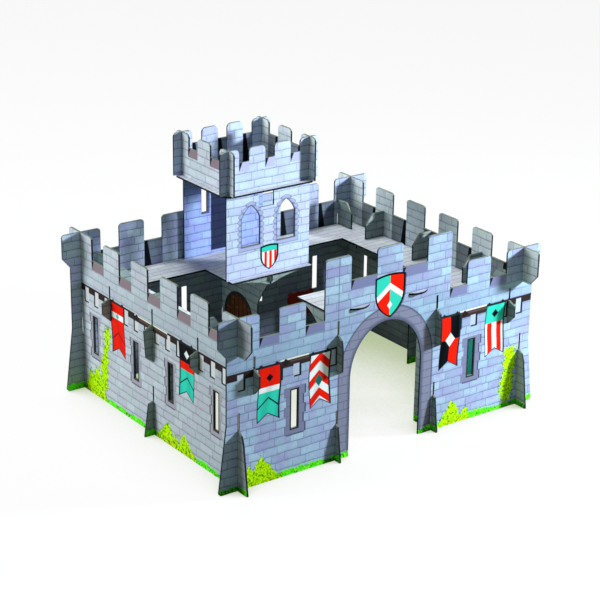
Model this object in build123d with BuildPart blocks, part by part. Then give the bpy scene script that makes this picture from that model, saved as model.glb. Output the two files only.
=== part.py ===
from build123d import *
import os

# A toy castle of flat cut card. Every piece is one card, and the pieces hook through slots in each other.
# X runs along the front wall, Y runs into the castle and Z is up. The origin is on the floor, at the centre.

# Card and slots
card = 2.0
slot_play = 0.2
seam_play = 0.3

# Walls: distances between the mid-planes of opposite walls, and heights from the floor
span_x = 350.0
span_y = 288.8
crenel_floor = 149.5
merlon_height = 24.5
merlon_round = 3.5
crenel_round = 1.2

# Front and back walls: merlons and crenels from the centre outwards
centre_merlon = 31.0
centre_crenel = 31.5
merlon = 30.0
crenel = 22.5
gate_floor_above_crenel = 34.5
gate_merlon_height = 26.0

# Front and back walls: how the board ends beyond the side walls
board_past_side = 13.0
ear_past_side = 22.0
ear_below_crenel = 1.5
ear_chamfer_x = 7.0
ear_chamfer_z = 8.5
ear_root = 2.0
foot_past_side = 22.0
foot_top = 70.0
foot_round = 3.0

# Side walls: merlons, and the ears and feet outside the front and back walls
side_merlons = 4
side_merlon = 30.0
side_corner_inside = 23.65
hook_past_board = 22.0
hook_ear_chamfer_y = 10.0
hook_ear_chamfer_z = 11.0
hook_foot_past = 16.6
hook_foot_shoulder = 9.6
hook_foot_waist = 51.0
hook_foot_brow_past = 6.5
hook_foot_brow = 3.2

# Gate arch and slot windows
gate_x = -1.2
gate_half_width = 44.2
gate_spring = 82.0
gate_rise = 52.0
window_width = 7.5
window_bottom = 48.5
window_height = 39.5
front_window_from_corner = 65.0
back_window_inner_x = 50.0
back_window_from_corner = 49.0
side_window_inner_y = 32.5
side_window_from_corner = 31.4

# Necks that pass through a wall: the height of the lower edge or how far it is below the deck,
# the neck, and the drop into place
wall_foot_neck_z = 18.0
wall_foot_neck = 44.0
wall_foot_drop = 18.0
corbel_neck_below_deck = 12.0
corbel_neck = 13.0
corbel_drop = 13.0
gate_top_neck_below_deck = 49.0
gate_top_neck = 27.0
gate_foot_neck_z = 14.0
gate_foot_neck = 25.0
gate_drop = 14.0
brace_top_neck_below_deck = 24.0
brace_top_neck = 24.0
brace_foot_neck_z = 16.0
brace_foot_neck = 21.0
brace_drop = 16.0

# Corbels: where they stand, and their six-sided heads outside the wall
corbel_from_corner_x = 17.5
corbel_from_corner_y = 62.4
left_wall_shift = 3.5
corbel_head_reach = 10.0
corbel_head_brow = 4.0
corbel_head_side = 12.0
corbel_head_below_neck = 12.0
corbel_heel_below_neck = 21.0

# Braces: the bracket and the foot outside the wall, and the leg inside it
brace_leg_depth = 27.0
bracket_reach = 11.0
bracket_brow = 5.0
bracket_waist_reach = 9.0
bracket_chin = 6.0
brace_foot_reach = 12.0
brace_foot_top_reach = 7.0
brace_foot_brow = 2.0
brace_haunch = 18.0

# Fins above the wall-walk and shelves under it, measured from the wall's mid-plane
fin_depth = 26.0
fin_height = 29.0
fin_shoulder = 12.0
fin_crown_depth = 17.0
deck_past_shelf = 6.0
shelf_lip = 6.0

# Gate braces, beside the arch
gate_brace_from_arch = 16.8
gate_leg_depth = 27.0
gate_bracket_reach = 9.0
gate_bracket_brow_reach = 7.0
gate_bracket_brow = 4.0
gate_bracket_shoulder = 13.0
gate_bracket_chin = 5.0
gate_foot_reach = 9.0
gate_foot_top_reach = 4.0
gate_foot_brow = 2.0
gate_gusset_reach = 51.0
gate_gusset_lip = 8.0
gate_gusset_height = 25.0
gate_gusset_bow = 2.2

# Wall-walk decks
deck_top = 121.0
deck_width = 44.0
platform_half_width = 51.0
platform_reach = 95.4

# Gate deck and its half-moon tabs
gate_deck_top = 156.0
gate_deck_past_brace = 9.5
gate_deck_past_gusset = 1.0
moon_x = 36.0
moon_width = 23.0
moon_reach = 4.5

# Platform post and the curved gusset across it
post_depth = 68.0
post_tip_back = 1.0
post_tip_height = 6.0
post_haunch = 41.0
post_bow = 2.2
gusset_from_edge = 5.0
gusset_half_width = 37.0
gusset_end = 2.0
gusset_depth = 11.0
gusset_bow = 1.5

# Tower panels: where they stand on the platform, and their openings, measured up from the deck
tower_x = -1.3
tower_set_back = 7.5
tower_half_width = 52.6
tower_back_half_width = 51.0
tower_back_gap = 4.4
tower_height = 92.0
arch_window_x = 22.4
arch_window_half_width = 11.4
arch_window_bottom = 34.0
arch_window_spring = 64.0
arch_window_point = 14.0
arch_window_bow = 1.6
notch_x = -3.0
notch_width = 19.5
notch_depth = 18.0
peg_slot_x = -15.6
peg_slot_width = 6.3
peg_slot_height = 2.0
peg_slot_below_roof = 2.0
slit_x = 25.4
slit_width = 7.2
slit_bottom = 48.5
slit_height = 38.5

# Roof plate and the parapets that stand on it
parapet_x = 51.0
parapet_height = 46.5
parapet_crenel = 14.5
parapet_ear = 10.5
parapet_round = 5.0
parapet_merlon = 20.0
parapet_centre_gap = 12.0
parapet_gap = 12.5
parapet_side_merlon = 23.0
parapet_side_gap = 18.0
roof_margin_x = 8.0
roof_margin_y = 7.5
roof_chamfer = 9.0

# Tabs of the tower panels and of the parapets
tab_width = 14.0
panel_tab_x = 36.0
parapet_tab_x = 18.0
parapet_tab_y = 25.0

half_card = card / 2
half_slot = half_card + slot_play
slot_width = 2 * half_slot
tab_slot_width = tab_width + 2 * slot_play
half_x = span_x / 2
half_y = span_y / 2
wall_top = crenel_floor + merlon_height
gate_floor = crenel_floor + gate_floor_above_crenel
gate_top = gate_floor + gate_merlon_height
ear_bottom = crenel_floor - ear_below_crenel
deck_bottom = deck_top - card
gate_deck_bottom = gate_deck_top - card
corbel_neck_z = deck_bottom - corbel_neck_below_deck
brace_top_neck_z = deck_bottom - brace_top_neck_below_deck
gate_top_neck_z = gate_deck_bottom - gate_top_neck_below_deck
corbel_x = half_x - corbel_from_corner_x
corbel_y = half_y - corbel_from_corner_y
front_window_x = half_x - front_window_from_corner
back_window_outer_x = half_x - back_window_from_corner
side_window_outer_y = half_y - side_window_from_corner
shelf_depth = deck_width - deck_past_shelf
gate_brace_x = gate_half_width + gate_brace_from_arch
platform_front_y = half_y - platform_reach
tower_front_y = platform_front_y + tower_set_back
tower_back_y = half_y - tower_back_gap
up = Vector(0, 0, 1)

os.makedirs("parts", exist_ok=True)


# A rectangle given by its edges
def bar(x0, x1, z0, z1, mode=Mode.ADD):
    with Locations(((x0 + x1) / 2, (z0 + z1) / 2)):
        Rectangle(x1 - x0, z1 - z0, mode=mode)


# The same rectangle on both sides of the centre line
def bar_pair(x0, x1, z0, z1, mode=Mode.ADD):
    bar(x0, x1, z0, z1, mode)
    bar(-x1, -x0, z0, z1, mode)


# An upright slot in a wall: it takes a neck and leaves its drop open above
def neck_slot(x, neck_z, neck, drop):
    bar(x - half_slot, x + half_slot, neck_z, neck_z + neck + drop, Mode.SUBTRACT)


def slot_window(x):
    x0 = x - window_width / 2
    bar(x0, x0 + window_width, window_bottom, window_bottom + window_height, Mode.SUBTRACT)


# Rounds the corners of a sketch that lie at one height
def round_at(sketch, height, radius):
    tolerance = 0.01
    corners = sketch.vertices().filter_by_position(Axis.Y, height - tolerance, height + tolerance)
    fillet(corners, radius)


# The plane of a card that stands across a wall: x runs outwards from the wall's mid-plane, y is up
def across_wall(x, y, outward):
    return Plane(origin=(x, y, 0), x_dir=outward, z_dir=outward.cross(up))


def export_piece(part, name):
    part.label = name
    export_step(part, f"parts/{name}.step")


# Front and back walls

inner_crenel_x = centre_merlon / 2
gate_merlon_x = inner_crenel_x + centre_crenel
flank_x = gate_merlon_x + merlon
flank_merlon_x = flank_x + crenel
corner_merlon_x = flank_merlon_x + merlon + crenel
board_x = half_x + board_past_side
foot_x = half_x + foot_past_side
ear_x = half_x + ear_past_side
ear_chin_x = ear_x - ear_chamfer_x
ear_chin_z = ear_bottom - ear_chamfer_z

# One end of the board: the flared foot, the waist, and the ear at the top
board_end = [
    (flank_x, 0),
    (foot_x, 0),
    (board_x, foot_top),
    (board_x, ear_chin_z - ear_root),
    (ear_chin_x, ear_chin_z),
    (ear_x, ear_bottom),
    (ear_x, wall_top),
    (corner_merlon_x, wall_top),
    (corner_merlon_x, crenel_floor),
    (flank_x, crenel_floor),
]
board_end_mirrored = [(-x, z) for x, z in board_end]

with BuildPart() as front_wall:
    with BuildSketch(Plane.XZ.offset(half_y)) as front_outline:
        bar(-flank_x, flank_x, 0, gate_floor)
        Polygon(*board_end, align=None)
        Polygon(*board_end_mirrored, align=None)
        bar(-inner_crenel_x, inner_crenel_x, gate_floor, gate_top)
        bar_pair(gate_merlon_x, flank_x, gate_floor, gate_top)
        bar_pair(flank_merlon_x, flank_merlon_x + merlon, crenel_floor, wall_top)
        round_at(front_outline, gate_top, merlon_round)
        round_at(front_outline, wall_top, merlon_round)
        round_at(front_outline, crenel_floor, crenel_round)
        round_at(front_outline, gate_floor, crenel_round)
        round_at(front_outline, 0, foot_round)
        bar(gate_x - gate_half_width, gate_x + gate_half_width, 0, gate_spring, Mode.SUBTRACT)
        with Locations((gate_x, gate_spring)):
            Ellipse(gate_half_width, gate_rise, mode=Mode.SUBTRACT)
        for side in (-1, 1):
            slot_window(gate_x + side * front_window_x)
            neck_slot(side * half_x, wall_foot_neck_z, wall_foot_neck, wall_foot_drop)
            neck_slot(side * half_x, crenel_floor, wall_top - crenel_floor, wall_foot_drop)
            neck_slot(side * corbel_x, corbel_neck_z, corbel_neck, corbel_drop)
            neck_slot(side * gate_brace_x, gate_top_neck_z, gate_top_neck, gate_drop)
            neck_slot(side * gate_brace_x, gate_foot_neck_z, gate_foot_neck, gate_drop)
            with Locations((side * moon_x, gate_deck_top - half_card)):
                Rectangle(moon_width + 2 * slot_play, slot_width, mode=Mode.SUBTRACT)
    extrude(amount=half_card, both=True)
export_piece(front_wall.part, "front_wall")

with BuildPart() as back_wall:
    with BuildSketch(Plane.XZ.offset(-half_y)) as back_outline:
        bar(-flank_x, flank_x, 0, crenel_floor)
        Polygon(*board_end, align=None)
        Polygon(*board_end_mirrored, align=None)
        bar(-inner_crenel_x, inner_crenel_x, crenel_floor, wall_top)
        bar_pair(gate_merlon_x, flank_x, crenel_floor, wall_top)
        bar_pair(flank_merlon_x, flank_merlon_x + merlon, crenel_floor, wall_top)
        round_at(back_outline, wall_top, merlon_round)
        round_at(back_outline, crenel_floor, crenel_round)
        round_at(back_outline, 0, foot_round)
        neck_slot(0, brace_top_neck_z, brace_top_neck, brace_drop)
        neck_slot(0, brace_foot_neck_z, brace_foot_neck, brace_drop)
        for side in (-1, 1):
            slot_window(side * back_window_inner_x)
            slot_window(side * back_window_outer_x)
            neck_slot(side * half_x, wall_foot_neck_z, wall_foot_neck, wall_foot_drop)
            neck_slot(side * half_x, crenel_floor, wall_top - crenel_floor, wall_foot_drop)
            neck_slot(side * corbel_x, corbel_neck_z, corbel_neck, corbel_drop)
    extrude(amount=half_card, both=True)
export_piece(back_wall.part, "back_wall")

# Side walls

side_end = half_y - half_slot
hook_start = half_y + half_slot
hook_tip = half_y + hook_past_board
hook_chin_z = ear_bottom - hook_ear_chamfer_z
side_corner_y = half_y - side_corner_inside
side_merlon_pitch = (2 * side_corner_y + side_merlon) / (side_merlons + 1)
wall_foot_neck_top = wall_foot_neck_z + wall_foot_neck

# The hooks at one end of a side wall, outside the front or back wall
hook_foot = [
    (hook_start, 0),
    (half_y + hook_foot_past, 0),
    (half_y + hook_foot_shoulder, hook_foot_waist),
    (half_y + hook_foot_brow_past, wall_foot_neck_top - hook_foot_brow),
    (hook_start, wall_foot_neck_top),
]
hook_ear = [
    (hook_start, hook_chin_z),
    (hook_tip - hook_ear_chamfer_y, hook_chin_z),
    (hook_tip, ear_bottom),
    (hook_tip, wall_top),
    (side_corner_y, wall_top),
    (side_corner_y, crenel_floor),
    (hook_start, crenel_floor),
]

# How far back each side's windows, corbels and brace stand from the middle of the wall
side_shifts = {"left": left_wall_shift, "right": 0}
sides = (("left", -1), ("right", 1))

for side_name, side in sides:
    shift = side_shifts[side_name]
    with BuildPart() as side_wall:
        with BuildSketch(Plane.YZ.offset(side * half_x)) as side_outline:
            bar(-side_end, side_end, 0, crenel_floor)
            for count in range(side_merlons):
                start = (count - (side_merlons - 1) / 2) * side_merlon_pitch - side_merlon / 2
                bar(start, start + side_merlon, crenel_floor, wall_top)
            for end in (-1, 1):
                Polygon(*[(end * y, z) for y, z in hook_ear], align=None)
            round_at(side_outline, wall_top, merlon_round)
            for end in (-1, 1):
                Polygon(*[(end * y, z) for y, z in hook_foot], align=None)
            bar_pair(side_end, hook_start, wall_foot_neck_z, wall_foot_neck_top)
            for y in (side_window_inner_y, side_window_outer_y):
                slot_window(shift + y)
                slot_window(shift - y)
            neck_slot(shift - corbel_y, corbel_neck_z, corbel_neck, corbel_drop)
            neck_slot(shift + corbel_y, corbel_neck_z, corbel_neck, corbel_drop)
            neck_slot(shift, brace_top_neck_z, brace_top_neck, brace_drop)
            neck_slot(shift, brace_foot_neck_z, brace_foot_neck, brace_drop)
        extrude(amount=half_card, both=True)
    export_piece(side_wall.part, f"{side_name}_wall")

# Corbels and braces. In their sketches x is negative inside the wall and positive outside it.

fin_top = deck_top + fin_height
fin = [
    (-half_slot, deck_bottom),
    (-half_slot, fin_top),
    (-fin_crown_depth, fin_top),
    (-fin_depth, fin_top - fin_shoulder),
    (-fin_depth, deck_bottom),
]
corbel_neck_top = corbel_neck_z + corbel_neck
corbel_head_top = corbel_neck_top - corbel_head_brow
corbel_head_bottom = corbel_neck_z - corbel_head_below_neck
corbel_heel_z = corbel_neck_z - corbel_heel_below_neck


def corbel_piece(name, plane):
    with BuildPart() as corbel:
        with BuildSketch(plane):
            Polygon(*fin, align=None)
            shelf = [
                (-half_slot, deck_bottom),
                (-shelf_depth, deck_bottom),
                (-shelf_depth, deck_bottom - shelf_lip),
                (-half_slot, corbel_heel_z),
            ]
            Polygon(*shelf, align=None)
            bar(-half_slot, half_slot, corbel_neck_z, corbel_neck_top)
            head = [
                (half_slot, corbel_head_bottom),
                (corbel_head_reach, corbel_head_top - corbel_head_side),
                (corbel_head_reach, corbel_head_top),
                (half_slot, corbel_neck_top),
            ]
            Polygon(*head, align=None)
        extrude(amount=half_card, both=True)
    export_piece(corbel.part, name)


# Bracket and foot outside the wall, with their necks: the wall braces and the platform post have them
def brace_hooks():
    bracket_top = brace_top_neck_z + brace_top_neck
    bracket_bottom = brace_top_neck_z - brace_drop
    foot_top_z = brace_foot_neck_z + brace_foot_neck
    bracket = [
        (half_slot, bracket_bottom),
        (bracket_waist_reach, bracket_bottom + bracket_chin),
        (bracket_reach, bracket_top - bracket_brow),
        (half_slot, bracket_top),
    ]
    foot = [
        (half_slot, 0),
        (brace_foot_reach, 0),
        (brace_foot_top_reach, foot_top_z - brace_foot_brow),
        (half_slot, foot_top_z),
    ]
    Polygon(*bracket, align=None)
    Polygon(*foot, align=None)
    bar(-half_slot, half_slot, brace_top_neck_z, bracket_top)
    bar(-half_slot, half_slot, brace_foot_neck_z, foot_top_z)


def wall_brace(name, plane):
    with BuildPart() as brace:
        with BuildSketch(plane):
            Polygon(*fin, align=None)
            bar(-brace_leg_depth, -half_slot, 0, deck_bottom)
            haunch = [
                (-brace_leg_depth, deck_bottom),
                (-shelf_depth, deck_bottom),
                (-shelf_depth, deck_bottom - shelf_lip),
                (-brace_leg_depth, deck_bottom - brace_haunch),
            ]
            Polygon(*haunch, align=None)
            brace_hooks()
        extrude(amount=half_card, both=True)
    export_piece(brace.part, name)


def gate_brace(name, plane):
    bracket_top = gate_top_neck_z + gate_top_neck
    bracket_bottom = gate_top_neck_z - gate_drop
    foot_top_z = gate_foot_neck_z + gate_foot_neck
    gusset_tip = (-gate_gusset_reach, gate_deck_bottom - gate_gusset_lip)
    gusset_root = (-gate_leg_depth, gate_deck_bottom - gate_gusset_height)
    with BuildPart() as brace:
        with BuildSketch(plane):
            with BuildLine():
                Polyline(
                    (-gate_leg_depth, 0),
                    (-half_slot, 0),
                    (-half_slot, gate_deck_bottom),
                    (-gate_gusset_reach, gate_deck_bottom),
                    gusset_tip,
                )
                SagittaArc(gusset_tip, gusset_root, gate_gusset_bow)
                Line(gusset_root, (-gate_leg_depth, 0))
            make_face()
            bracket = [
                (half_slot, bracket_bottom),
                (gate_bracket_reach, bracket_bottom + gate_bracket_chin),
                (gate_bracket_reach, bracket_top - gate_bracket_shoulder),
                (gate_bracket_brow_reach, bracket_top - gate_bracket_brow),
                (half_slot, bracket_top),
            ]
            foot = [
                (half_slot, 0),
                (gate_foot_reach, 0),
                (gate_foot_top_reach, foot_top_z - gate_foot_brow),
                (half_slot, foot_top_z),
            ]
            Polygon(*bracket, align=None)
            Polygon(*foot, align=None)
            bar(-half_slot, half_slot, gate_top_neck_z, bracket_top)
            bar(-half_slot, half_slot, gate_foot_neck_z, foot_top_z)
        extrude(amount=half_card, both=True)
    export_piece(brace.part, name)


front_out = Vector(0, -1, 0)
back_out = Vector(0, 1, 0)
for side_name, side in sides:
    side_out = Vector(side, 0, 0)
    shift = side_shifts[side_name]
    corbel_piece(f"front_{side_name}_corbel", across_wall(side * corbel_x, -half_y, front_out))
    corbel_piece(f"back_{side_name}_corbel", across_wall(side * corbel_x, half_y, back_out))
    corbel_piece(f"{side_name}_front_corbel", across_wall(side * half_x, shift - corbel_y, side_out))
    corbel_piece(f"{side_name}_back_corbel", across_wall(side * half_x, shift + corbel_y, side_out))
    gate_brace(f"{side_name}_gate_brace", across_wall(side * gate_brace_x, -half_y, front_out))
    wall_brace(f"{side_name}_wall_brace", across_wall(side * half_x, shift, side_out))

# Platform post, which hooks through the back wall, and the gusset halved across it

post_tip = (-platform_reach + post_tip_back, deck_bottom - post_tip_height)
post_root = (-post_depth, deck_bottom - post_haunch)
gusset_y = platform_front_y + gusset_from_edge
gusset_low_z = deck_bottom - gusset_depth
gusset_lap_z = deck_bottom - gusset_depth / 2

with BuildPart() as platform_post:
    with BuildSketch(across_wall(0, half_y, back_out)):
        with BuildLine():
            Polyline(
                (-post_depth, 0),
                (-half_slot, 0),
                (-half_slot, deck_bottom),
                (-platform_reach + post_tip_back, deck_bottom),
                post_tip,
            )
            SagittaArc(post_tip, post_root, post_bow)
            Line(post_root, (-post_depth, 0))
        make_face()
        brace_hooks()
        gusset_offset = gusset_y - half_y
        bar(gusset_offset - half_slot, gusset_offset + half_slot, gusset_lap_z, deck_bottom, Mode.SUBTRACT)
    extrude(amount=half_card, both=True)
export_piece(platform_post.part, "platform_post")

with BuildPart() as platform_gusset:
    with BuildSketch(Plane.XZ.offset(-gusset_y)):
        gusset_corner = (gusset_half_width, deck_bottom - gusset_end)
        with BuildLine():
            Polyline((0, gusset_low_z), (0, deck_bottom), (gusset_half_width, deck_bottom), gusset_corner)
            SagittaArc(gusset_corner, (0, gusset_low_z), -gusset_bow)
        make_face()
        mirror(about=Plane.YZ)
        bar(-half_slot, half_slot, gusset_low_z, gusset_lap_z, Mode.SUBTRACT)
    extrude(amount=half_card, both=True)
export_piece(platform_gusset.part, "platform_gusset")

# Wall-walk decks. A notch in the outer edge takes each fin.

deck_x = half_x - half_slot
deck_y = half_y - half_slot
side_deck_x = half_x - deck_width
back_deck_y = half_y - deck_width
fin_notch = fin_depth + slot_play

with BuildPart() as back_deck:
    with BuildSketch(Plane.XY.offset(deck_bottom)):
        bar(-deck_x, deck_x, back_deck_y, deck_y)
        bar(-platform_half_width, platform_half_width, platform_front_y, back_deck_y)
        for side in (-1, 1):
            x = side * corbel_x
            bar(x - half_slot, x + half_slot, half_y - fin_notch, deck_y, Mode.SUBTRACT)
            tab_x = tower_x + side * panel_tab_x
            with Locations((tab_x, tower_front_y), (tab_x, tower_back_y)):
                Rectangle(tab_slot_width, slot_width, mode=Mode.SUBTRACT)
    extrude(amount=card)
export_piece(back_deck.part, "back_deck")

for side_name, side in sides:
    shift = side_shifts[side_name]
    with BuildPart() as side_deck:
        with BuildSketch(Plane.XY.offset(deck_bottom)):
            inner_x, outer_x = sorted((side * side_deck_x, side * deck_x))
            bar(inner_x, outer_x, -deck_y, back_deck_y - seam_play)
            notch_x0, notch_x1 = sorted((side * (half_x - fin_notch), side * deck_x))
            for y in (shift - corbel_y, shift, shift + corbel_y):
                bar(notch_x0, notch_x1, y - half_slot, y + half_slot, Mode.SUBTRACT)
            x = side * corbel_x
            bar(x - half_slot, x + half_slot, -deck_y, -half_y + fin_notch, Mode.SUBTRACT)
        extrude(amount=card)
    export_piece(side_deck.part, f"{side_name}_deck")

# Gate deck, which lies on the gate braces

front_face_y = -half_y - half_card
gate_deck_half_width = gate_brace_x + gate_deck_past_brace
gate_deck_inner_y = -half_y + gate_gusset_reach + gate_deck_past_gusset

with BuildPart() as front_deck:
    with BuildSketch(Plane.XY.offset(gate_deck_bottom)):
        bar(-gate_deck_half_width, gate_deck_half_width, -deck_y, gate_deck_inner_y)
        for side in (-1, 1):
            x0 = side * moon_x - moon_width / 2
            x1 = x0 + moon_width
            bar(x0, x1, front_face_y, -deck_y)
            with BuildLine():
                ThreePointArc((x0, front_face_y), (side * moon_x, front_face_y - moon_reach), (x1, front_face_y))
                Line((x1, front_face_y), (x0, front_face_y))
            make_face()
    extrude(amount=card)
export_piece(front_deck.part, "front_deck")

# Tower panels. Their tabs pass through the platform below and the roof plate above.

roof_bottom = deck_top + tower_height
roof_top = roof_bottom + card


def panel_tabs():
    for side in (-1, 1):
        x0 = tower_x + side * panel_tab_x - tab_width / 2
        bar(x0, x0 + tab_width, deck_bottom, deck_top)
        bar(x0, x0 + tab_width, roof_bottom, roof_top)


with BuildPart() as tower_front_panel:
    with BuildSketch(Plane.XZ.offset(-tower_front_y)):
        bar(tower_x - tower_half_width, tower_x + tower_half_width, deck_top, roof_bottom)
        panel_tabs()
        notch_x0 = tower_x + notch_x - notch_width / 2
        bar(notch_x0, notch_x0 + notch_width, roof_bottom - notch_depth, roof_bottom, Mode.SUBTRACT)
        with Locations((tower_x + peg_slot_x, roof_bottom - peg_slot_below_roof - peg_slot_height / 2)):
            Rectangle(peg_slot_width, peg_slot_height, mode=Mode.SUBTRACT)
        for side in (-1, 1):
            x = tower_x + side * arch_window_x
            sill_z = deck_top + arch_window_bottom
            spring_z = deck_top + arch_window_spring
            left_spring = (x - arch_window_half_width, spring_z)
            right_spring = (x + arch_window_half_width, spring_z)
            point = (x, spring_z + arch_window_point)
            with BuildLine():
                Polyline(
                    left_spring,
                    (x - arch_window_half_width, sill_z),
                    (x + arch_window_half_width, sill_z),
                    right_spring,
                )
                SagittaArc(right_spring, point, -arch_window_bow)
                SagittaArc(point, left_spring, -arch_window_bow)
            make_face(mode=Mode.SUBTRACT)
    extrude(amount=half_card, both=True)
export_piece(tower_front_panel.part, "tower_front_panel")

with BuildPart() as tower_back_panel:
    with BuildSketch(Plane.XZ.offset(-tower_back_y)):
        bar(tower_x - tower_back_half_width, tower_x + tower_back_half_width, deck_top, roof_bottom)
        panel_tabs()
        slit_z = deck_top + slit_bottom
        for side in (-1, 1):
            x0 = tower_x + side * slit_x - slit_width / 2
            bar(x0, x0 + slit_width, slit_z, slit_z + slit_height, Mode.SUBTRACT)
    extrude(amount=half_card, both=True)
export_piece(tower_back_panel.part, "tower_back_panel")

# Roof plate and the four parapets that stand on it, halved into each other at the corners.
# The back parapet stands over the back wall.

parapet_top = roof_top + parapet_height
parapet_floor = parapet_top - parapet_crenel
parapet_lap_z = roof_top + parapet_height / 2
parapet_back_y = half_y
parapet_mid_y = (tower_front_y + parapet_back_y) / 2
parapet_half_y = (parapet_back_y - tower_front_y) / 2

with BuildPart() as tower_roof_plate:
    with BuildSketch(Plane.XY.offset(roof_bottom)) as roof_outline:
        with Locations((0, parapet_mid_y)):
            Rectangle(2 * (parapet_x + roof_margin_x), 2 * (parapet_half_y + roof_margin_y))
        chamfer(roof_outline.vertices(), roof_chamfer)
        for side in (-1, 1):
            panel_x = tower_x + side * panel_tab_x
            end_x = side * parapet_tab_x
            with Locations(
                (panel_x, tower_front_y),
                (panel_x, tower_back_y),
                (end_x, tower_front_y),
                (end_x, parapet_back_y),
            ):
                Rectangle(tab_slot_width, slot_width, mode=Mode.SUBTRACT)
            side_x = side * parapet_x
            with Locations((side_x, parapet_mid_y - parapet_tab_y), (side_x, parapet_mid_y + parapet_tab_y)):
                Rectangle(slot_width, tab_slot_width, mode=Mode.SUBTRACT)
    extrude(amount=card)
export_piece(tower_roof_plate.part, "tower_roof_plate")

for end_name, parapet_y in (("front", tower_front_y), ("back", parapet_back_y)):
    with BuildPart() as end_parapet:
        with BuildSketch(Plane.XZ.offset(-parapet_y)) as end_outline:
            tip_x = parapet_x + parapet_ear
            merlon_x = parapet_centre_gap / 2
            corner_x = merlon_x + parapet_merlon + parapet_gap
            bar(-tip_x, tip_x, roof_top, parapet_floor)
            bar_pair(merlon_x, merlon_x + parapet_merlon, parapet_floor, parapet_top)
            bar_pair(corner_x, tip_x, parapet_floor, parapet_top)
            round_at(end_outline, parapet_top, parapet_round)
            round_at(end_outline, parapet_floor, crenel_round)
            bar_pair(parapet_tab_x - tab_width / 2, parapet_tab_x + tab_width / 2, roof_bottom, roof_top)
            bar_pair(parapet_x - half_slot, parapet_x + half_slot, roof_top, parapet_lap_z, Mode.SUBTRACT)
        extrude(amount=half_card, both=True)
    export_piece(end_parapet.part, f"{end_name}_parapet")

for side_name, side in sides:
    with BuildPart() as side_parapet:
        with BuildSketch(Plane.YZ.offset(side * parapet_x)) as side_outline:
            tip = parapet_half_y + parapet_ear
            half_merlon = parapet_side_merlon / 2
            corner = half_merlon + parapet_side_gap
            bar(parapet_mid_y - tip, parapet_mid_y + tip, roof_top, parapet_floor)
            bar(parapet_mid_y - half_merlon, parapet_mid_y + half_merlon, parapet_floor, parapet_top)
            bar(parapet_mid_y - tip, parapet_mid_y - corner, parapet_floor, parapet_top)
            bar(parapet_mid_y + corner, parapet_mid_y + tip, parapet_floor, parapet_top)
            round_at(side_outline, parapet_top, parapet_round)
            round_at(side_outline, parapet_floor, crenel_round)
            for y in (parapet_mid_y - parapet_tab_y, parapet_mid_y + parapet_tab_y):
                bar(y - tab_width / 2, y + tab_width / 2, roof_bottom, roof_top)
            for y in (tower_front_y, parapet_back_y):
                bar(y - half_slot, y + half_slot, parapet_lap_z, parapet_top, Mode.SUBTRACT)
        extrude(amount=half_card, both=True)
    export_piece(side_parapet.part, f"{side_name}_parapet")
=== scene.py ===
import math

import bpy
from mathutils import Matrix, Vector

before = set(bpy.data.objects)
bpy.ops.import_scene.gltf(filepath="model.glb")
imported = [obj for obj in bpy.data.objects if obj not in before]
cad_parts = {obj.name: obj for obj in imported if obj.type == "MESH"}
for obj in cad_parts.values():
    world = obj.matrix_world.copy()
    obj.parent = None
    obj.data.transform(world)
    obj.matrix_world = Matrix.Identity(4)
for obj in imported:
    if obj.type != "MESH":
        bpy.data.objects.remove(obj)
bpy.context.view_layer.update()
scene = bpy.context.scene
mm = 0.001


def ink(red, green, blue):                     # a printed colour, each part from 0 to 255
    parts = []
    for value in (red, green, blue):
        share = value / 255
        parts.append(share / 12.92 if share <= 0.04045 else ((share + 0.055) / 1.055) ** 2.4)
    return (*parts, 1.0)


class Field:                                   # a value or colour that varies over a card
    def __init__(self, sheet, socket):
        self.sheet = sheet
        self.socket = socket

    def __add__(self, other):
        return self.sheet.math("ADD", self, other)

    def __radd__(self, other):
        return self.sheet.math("ADD", other, self)

    def __sub__(self, other):
        return self.sheet.math("SUBTRACT", self, other)

    def __rsub__(self, other):
        return self.sheet.math("SUBTRACT", other, self)

    def __mul__(self, other):
        return self.sheet.math("MULTIPLY", self, other)

    def __rmul__(self, other):
        return self.sheet.math("MULTIPLY", other, self)

    def __truediv__(self, other):
        return self.sheet.math("DIVIDE", self, other)

    def __abs__(self):
        return self.sheet.math("ABSOLUTE", self)

    def __and__(self, other):                  # inside both shapes
        return self.sheet.math("MINIMUM", self, other)

    def __or__(self, other):                   # inside either shape
        return self.sheet.math("MAXIMUM", self, other)


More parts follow.
